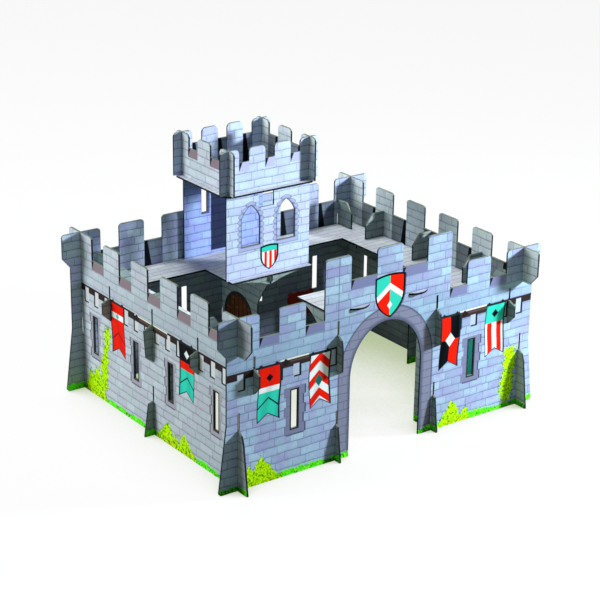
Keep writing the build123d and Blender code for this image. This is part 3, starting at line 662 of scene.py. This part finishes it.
def wallOutside(sheet, u, name, spec):
    w = wallShade
    colour, lines = stonework(sheet, u, sheet.z, spec["stone"])
    waist = sheet.cover(sheet.near(sheet.z, w["waist"], w["waistHalf"]), w["waistSoft"])
    colour = sheet.paint(colour, spec["upper"], waist * w["waistInk"])
    if name == "left_wall":                    # painted shade deepens toward the gate end, standing in for the left lamp's light falling off
        paintedFalloff = sheet.ramp(u, -1 / w["gateEndRun"], 0.5)
        colour = sheet.paint(colour, w["gateEndShade"], paintedFalloff * w["gateEndInk"])
    colour = sillBands(sheet, colour, u, spec)
    if name == "front_wall":
        colour = gateArch(sheet, colour, u, lines)
        c = wallCrack
        crack = sheet.box(u, sheet.z, c["left"], c["right"], c["foot"], c["head"])
        colour = sheet.paint(colour, trim["crack"], sheet.cover(crack) * c["ink"])
    colour = machicolation(sheet, colour, u, spec)
    colour = slotWindows(sheet, colour, u, spec)
    colour = turf(sheet, colour, u, spec["grass"])
    colour = shrubs(sheet, colour, u, spec)
    colour = polesOn(sheet, colour, u, spec)
    colour = pennants(sheet, colour, u, spec)
    if name == "front_wall":
        colour = gateShield(sheet, colour, u)
    return colour


def wallInside(sheet, u, name, spec):
    w = wallShade
    colour = blockwork(sheet, u, sheet.z, spec["inner"])
    colour = innerBands(sheet, colour, u, spec["crenels"], w["crenel"], w["deckLine"])
    # painted shade: inside faces below the deck line are painted darker, as if shaded by the decks
    below = sheet.cover(w["deckLine"] - sheet.z, 2.0)
    colour = sheet.paint(colour, w["underDeckShade"], below * w["underDeckInk"])
    for left, right, low, high, tint in drapes.get(name, []):
        uneven = (sheet.noise(drapeCut["patch"], 2.0) - 0.5) * drapeCut["ragged"]
        hanging = sheet.box(u, sheet.z, left, right, low, high) + uneven
        colour = sheet.paint(colour, tint, sheet.cover(hanging, drapeCut["soft"]))
    beyond = sheet.cover(abs(u) - spec["corner"])
    colour = sheet.paint(colour, turf(sheet, colour, u, spec["grass"]), beyond)
    if name == "back_wall":                    # painted light: the left ear is painted paler than its print, to brighten a corner the lamps barely reach
        colour = sheet.scaled(colour, 1 + sheet.cover(-1 * u - spec["corner"]) * w["earPaintedLight"])
    return colour


def curtainWall(name, spec):
    sheet = Sheet(name + "_print")
    u = sheet.x if spec["axis"] == "y" else sheet.y
    outside = wallOutside(sheet, u, name, spec)
    inside = wallInside(sheet, u, name, spec)
    dress(cardFinish(sheet, spec["axis"], spec["outward"], outside, inside), name)


for wallName, wallSpec in curtainWalls.items():
    curtainWall(wallName, wallSpec)
print("curtain walls printed")


# Braces, corbels and the platform's post

acrossX = ["front_left_corbel", "front_right_corbel", "back_left_corbel", "back_right_corbel",
           "left_gate_brace", "right_gate_brace"]
acrossY = ["left_front_corbel", "left_back_corbel", "right_front_corbel", "right_back_corbel",
           "left_wall_brace", "right_wall_brace", "platform_gusset"]
braceGrass = 7.0
door = {
    "middle": 111.0, "half": 25.0, "spring": 52.0, "top": 78.0, "stone": 3.0, "plank": 8.2, "gap": 0.6,
    "surround": ink(62, 68, 82), "wood": ink(140, 84, 50), "darkWood": ink(84, 52, 34),
    "spots": ink(206, 122, 62), "gapInk": ink(48, 32, 26),
    "grainWide": 2.0, "grainTall": 18.0, "spotSize": 5.0, "spotRamp": (6.0, -3.3),
}


def braceCard(name, axis, nodes):
    sheet = Sheet(name)
    u = sheet.y if axis == "x" else sheet.x
    face = turf(sheet, blockwork(sheet, u, sheet.z, "brace"), u, braceGrass)
    dress(cardFinish(sheet, axis, 1, face, face), *nodes)


def postCard():
    # The post has a plank door printed on it, in a stone surround
    sheet = Sheet("platform_post_print")
    face = blockwork(sheet, sheet.y, sheet.z, "inside")
    climb = (sheet.z - door["spring"]) | 0.0
    a = abs(sheet.y - door["middle"]) / door["half"]
    b = climb / (door["top"] - door["spring"])
    depth = (1 - sheet.math("SQRT", a * a + b * b)) * door["half"]
    face = sheet.paint(face, door["surround"], sheet.cover(depth + door["stone"], 0.8))
    plank = sheet.math("PINGPONG", sheet.y - door["middle"], door["plank"] / 2)
    figure = sheet.noise(1.0, 3.0, sheet.point(sheet.y / door["grainWide"], sheet.z / door["grainTall"]))
    wood = sheet.paint(door["wood"], door["darkWood"], figure)
    spots = sheet.noise(door["spotSize"], 3.0, rough=0.7)
    wood = sheet.paint(wood, door["spots"], sheet.ramp(spots, *door["spotRamp"]))
    wood = sheet.paint(wood, door["gapInk"], 1 - sheet.cover(plank - door["gap"], 0.5))
    face = sheet.paint(face, wood, sheet.cover(depth, 0.6))
    dress(cardFinish(sheet, "x", 1, face, face), "platform_post")


braceCard("brace_print_across_x", "x", acrossX)
braceCard("brace_print_across_y", "y", acrossY)
postCard()
print("braces and post printed")


# Decks, tower and parapets

deckNodes = ["back_deck", "left_deck", "right_deck", "front_deck", "tower_roof_plate"]
towerWindow = {
    "middles": (-23.7, 21.1), "half": 11.4, "sill": 155.0, "spring": 176.5, "centre": 13.4, "radius": 26.2,
    "band": 2.2, "lobe": 6.2, "lobeDeep": 2.4, "lobeGap": 1.2, "rim": 0.9, "stone": ink(158, 168, 204),
    "sillHalf": 15.5, "sillTall": 4.2, "sillOver": 0.6,
    "shadeLeft": 15.0, "shadeRight": 16.4, "shadeTall": 5.2,
    "aroundInk": 0.6, "gapInk": 0.5, "lipInk": 0.7,
}
# Painted shadows on the inner face of the tower's back panel, and the dark frame round its slits
backPanelShadeAndSlits = {
    "half": 18.4, "foot": 124.5, "dark": ink(12, 18, 44), "panelShadowInk": 0.94,
    "eaves": ink(46, 58, 84), "roofShadowFoot": 192, "roofShadowTall": 12.0, "roofShadowInk": 0.6,
    "slit": 25.4, "slitHalf": 5.4, "slitMiddle": 188.75, "slitTall": 21.25,
    "slitDark": ink(46, 54, 70), "slitInk": 0.85,
}


def deckCard():
    sheet = Sheet("deck_print")
    paving = blockwork(sheet, sheet.x, sheet.y, "deck")
    under = blockwork(sheet, sheet.x, sheet.y, "brace")
    dress(cardFinish(sheet, "z", 1, paving, under), *deckNodes)


def towerWindows(sheet, colour, u):
    # Scalloped stone round each pointed window, over a plain sill
    w = towerWindow
    foot = w["sill"]
    for middle in w["middles"]:
        off = abs(u - middle)
        climb = (sheet.z - w["spring"]) | 0.0
        reach = off + w["centre"]
        hole = (w["half"] - off) & (w["radius"] - sheet.math("SQRT", reach * reach + climb * climb))
        lobes = abs(sheet.math("SINE", (sheet.z - foot) * (math.pi / w["lobe"]))) * w["lobeDeep"]
        stone = (hole + w["band"] + lobes) & (sheet.z - foot)
        sides = (middle - w["sillHalf"], middle + w["sillHalf"])
        sill = sheet.box(u, sheet.z, *sides, foot - w["sillTall"], foot + w["sillOver"])
        sides = (middle - w["shadeLeft"], middle + w["shadeRight"])
        shade = sheet.box(u, sheet.z, *sides, foot - w["shadeTall"], foot)
        around = sheet.cover(shade | (stone + w["rim"]), 0.8)
        colour = sheet.paint(colour, trim["surroundDark"], around * w["aroundInk"])
        colour = sheet.paint(colour, w["stone"], sheet.cover(stone | sill, 0.7))
        gaps = sheet.cover(w["lobeGap"] - lobes, 1.0) * sheet.cover(stone)
        colour = sheet.paint(colour, trim["surroundDark"], gaps * w["gapInk"])
        lip = (hole + w["rim"]) & (sheet.z - foot + w["rim"])
        colour = sheet.paint(colour, trim["surroundDark"], sheet.cover(lip, 0.7) * w["lipInk"])
    return colour


def towerBackShadeAndSlits(sheet, colour, u):
    # Inside the back panel: a tall dark band of painted shadow where the front panel shades it, a band of
    # painted roof shadow along the top, and a dark frame round each slit
    panelShadow = (backPanelShadeAndSlits["half"] - abs(u)) & (sheet.z - backPanelShadeAndSlits["foot"])
    colour = sheet.paint(colour, backPanelShadeAndSlits["dark"], sheet.cover(panelShadow, 0.9) * backPanelShadeAndSlits["panelShadowInk"])
    # painted shadow of the roof plate, darkening toward the top of the panel
    eaves = sheet.ramp(sheet.z, 1 / backPanelShadeAndSlits["roofShadowTall"], -backPanelShadeAndSlits["roofShadowFoot"] / backPanelShadeAndSlits["roofShadowTall"])
    colour = sheet.paint(colour, backPanelShadeAndSlits["eaves"], eaves * backPanelShadeAndSlits["roofShadowInk"])
    slit = backPanelShadeAndSlits["slitHalf"] - abs(abs(u) - backPanelShadeAndSlits["slit"])
    slit = slit & sheet.near(sheet.z, backPanelShadeAndSlits["slitMiddle"], backPanelShadeAndSlits["slitTall"])
    return sheet.paint(colour, backPanelShadeAndSlits["slitDark"], sheet.cover(slit, 0.8) * backPanelShadeAndSlits["slitInk"])


def towerCards():
    sheet = Sheet("tower_front_print")
    front = towerWindows(sheet, blockwork(sheet, sheet.x, sheet.z, "tower"), sheet.x)
    front = towerShield(sheet, front, sheet.x)
    back = blockwork(sheet, sheet.x, sheet.z, "inside")
    dress(cardFinish(sheet, "y", -1, front, back), "tower_front_panel")
    sheet = Sheet("tower_back_print")
    front = towerBackShadeAndSlits(sheet, blockwork(sheet, sheet.x, sheet.z, "towerBack"), sheet.x)
    back = blockwork(sheet, sheet.x, sheet.z, "tower")
    dress(cardFinish(sheet, "y", -1, front, back), "tower_back_panel")


parapets = {
    "front": {"axis": "y", "outward": -1, "wedge": 1, "stone": "tower"},
    "back": {"axis": "y", "outward": 1, "wedge": -1, "stone": "tower"},
    "left": {"axis": "x", "outward": -1, "wedge": -1, "stone": "side"},
    "right": {"axis": "x", "outward": 1, "wedge": 1, "stone": "far"},
}
parapetPrint = {
    "low": 200.0, "dusk": ink(46, 56, 78),
    "crenels": {"x": [(71.0, 89.0, 247.0), (112.4, 130.4, 247.0)],
                "y": [(-38.5, -26, 247.0), (-6, 6, 247.0), (26, 38.5, 247.0)]},
    "sill": {"x": trim["sillWarm"], "y": ink(176, 180, 224)},
    "inner": {"x": "inside", "y": "tower"},
}


def parapetCard(name, spec):
    axis = spec["axis"]
    crenels = parapetPrint["crenels"][axis]
    sheet = Sheet(name + "_parapet_print")
    u = sheet.x if axis == "y" else sheet.y
    sills = {"crenels": crenels, "wedge": spec["wedge"], "sill": parapetPrint["sill"][axis]}
    outside = sillBands(sheet, blockwork(sheet, u, sheet.z, spec["stone"]), u, sills)
    inside = blockwork(sheet, u, sheet.z, parapetPrint["inner"][axis])
    inside = innerBands(sheet, inside, u, crenels, parapetPrint["dusk"], parapetPrint["low"])
    dress(cardFinish(sheet, axis, spec["outward"], outside, inside), name + "_parapet")


deckCard()
towerCards()
for side, spec in parapets.items():
    parapetCard(side, spec)
print("decks, tower and parapets printed")


# Camera, floor and light

view = {
    "from": (-1003.811, -1367.898, 765.468), "at": (-0.606, -1.0, 107.916), "roll": 0.858,
    "focal": 1761.213, "frame": 600, "sensor": 36.0, "clipStart": 0.05, "clipEnd": 20.0,
}


def setCamera():
    lens = bpy.data.cameras.new("camera")
    lens.sensor_width = view["sensor"]
    lens.lens = view["focal"] / view["frame"] * view["sensor"]
    lens.clip_start = view["clipStart"]
    lens.clip_end = view["clipEnd"]
    camera = bpy.data.objects.new("camera", lens)
    scene.collection.objects.link(camera)
    spot = Vector(view["from"]) * mm
    back = (spot - Vector(view["at"]) * mm).normalized()
    right = Vector((0, 0, 1)).cross(back).normalized()
    up = back.cross(right)
    turn = math.radians(view["roll"])
    newRight = right * math.cos(turn) + up * math.sin(turn)
    newUp = up * math.cos(turn) - right * math.sin(turn)
    pose = Matrix((newRight, newUp, back)).transposed().to_4x4()
    pose.translation = spot
    camera.matrix_world = pose
    scene.camera = camera


white = (1.0, 1.0, 1.0, 1.0)
floorLook = {
    "size": 8.0, "tint": ink(232, 234, 232), "bounce": ink(168, 174, 152), "glow": 0.92,
    "shade": ink(184, 199, 156), "reach": 0.25, "samples": 8, "shadeScale": -3.2, "shadeShift": 1.7,
}


def setFloor():
    # Plain and pale: what is seen glows white but for a painted green-grey shade where the castle encloses
    # it, and what only lights the castle is duller
    half = floorLook["size"] / 2
    mesh = bpy.data.meshes.new("floor")
    corners = [(-half, -half, 0), (half, -half, 0), (half, half, 0), (-half, half, 0)]
    mesh.from_pydata(corners, [], [(0, 1, 2, 3)])
    floor = bpy.data.objects.new("floor", mesh)
    scene.collection.objects.link(floor)
    sheet = Sheet("floor")
    path = sheet.node("ShaderNodeLightPath").outputs
    seen = Field(sheet, path["Is Camera Ray"])
    for ray in ("Is Glossy Ray", "Is Transmission Ray"):
        seen = seen | Field(sheet, path[ray])
    hidden = sheet.node("ShaderNodeAmbientOcclusion", {"samples": floorLook["samples"]}, {
        "Distance": floorLook["reach"],
    })
    openness = Field(sheet, hidden.outputs["AO"])
    enclosedShade = sheet.ramp(openness, floorLook["shadeScale"], floorLook["shadeShift"])

    def blend(factor, first, second):
        made = sheet.node("ShaderNodeMixShader", {}, {0: factor})
        sheet.tree.links.new(first.outputs[0], made.inputs[1])
        sheet.tree.links.new(second.outputs[0], made.inputs[2])
        return made

    paper = sheet.node("ShaderNodeBsdfDiffuse", {}, {"Color": floorLook["tint"]})
    dull = sheet.node("ShaderNodeBsdfDiffuse", {}, {"Color": floorLook["bounce"]})
    bright = sheet.node("ShaderNodeEmission", {}, {"Color": white, "Strength": 1.0})
    # painted shade: the floor glows green-grey where ambient occlusion finds it enclosed by the castle
    shade = sheet.node("ShaderNodeEmission", {}, {"Color": floorLook["shade"], "Strength": 1.0})
    lit = blend(enclosedShade, bright, shade)
    mix = blend(seen * floorLook["glow"], blend(seen, dull, paper), lit)
    output = sheet.node("ShaderNodeOutputMaterial")
    sheet.tree.links.new(mix.outputs[0], output.inputs[0])
    mesh.materials.append(sheet.material)


# Each lamp: degrees round from the front and up from the floor, metres away and across, watts, tint
lamps = {
    "key": {"turn": 56, "rise": 19, "far": 1.05, "size": 0.15, "power": 24.8, "tint": (0.88, 0.95, 1.0)},
    "left": {"turn": -124, "rise": 16, "far": 2.2, "size": 1.5, "power": 56.0, "tint": (0.97, 1.0, 1.0)},
    "top": {"turn": 160, "rise": 77, "far": 1.5, "size": 0.6, "power": 15.2, "tint": (0.94, 1.0, 0.97)},
}
lampAim = (0, 0, 0.1)
sky = {"light": 0.03, "tint": (0.96, 0.98, 1.0, 1.0)}


def setLamps():
    for name, spec in lamps.items():
        light = bpy.data.lights.new(name, "AREA")
        light.shape = "DISK"
        light.size = spec["size"]
        light.energy = spec["power"]
        light.color = spec["tint"]
        lamp = bpy.data.objects.new(name, light)
        turn = math.radians(spec["turn"])
        rise = math.radians(spec["rise"])
        toward = Vector((math.sin(turn) * math.cos(rise), -math.cos(turn) * math.cos(rise), math.sin(rise)))
        lamp.location = Vector(lampAim) + toward * spec["far"]
        lamp.rotation_euler = (-toward).to_track_quat("-Z", "Y").to_euler()
        lamp.visible_camera = False
        scene.collection.objects.link(lamp)


def setSky():
    # White where it is seen, faint where it lights
    world = bpy.data.worlds.new("studio")
    scene.world = world
    world.use_nodes = True
    nodes = world.node_tree.nodes
    links = world.node_tree.links
    nodes.clear()
    path = nodes.new("ShaderNodeLightPath").outputs
    seen = path["Is Camera Ray"]
    for ray in ("Is Glossy Ray", "Is Transmission Ray"):
        either = nodes.new("ShaderNodeMath")
        either.operation = "MAXIMUM"
        links.new(seen, either.inputs[0])
        links.new(path[ray], either.inputs[1])
        seen = either.outputs[0]
    dim = nodes.new("ShaderNodeBackground")
    dim.inputs["Color"].default_value = sky["tint"]
    dim.inputs["Strength"].default_value = sky["light"]
    bright = nodes.new("ShaderNodeBackground")
    bright.inputs["Color"].default_value = white
    bright.inputs["Strength"].default_value = 1.0
    mix = nodes.new("ShaderNodeMixShader")
    output = nodes.new("ShaderNodeOutputWorld")
    links.new(seen, mix.inputs[0])
    links.new(dim.outputs[0], mix.inputs[1])
    links.new(bright.outputs[0], mix.inputs[2])
    links.new(mix.outputs[0], output.inputs[0])


setCamera()
setFloor()
setLamps()
setSky()
scene.view_settings.view_transform = "Standard"
print("camera, floor and light set")
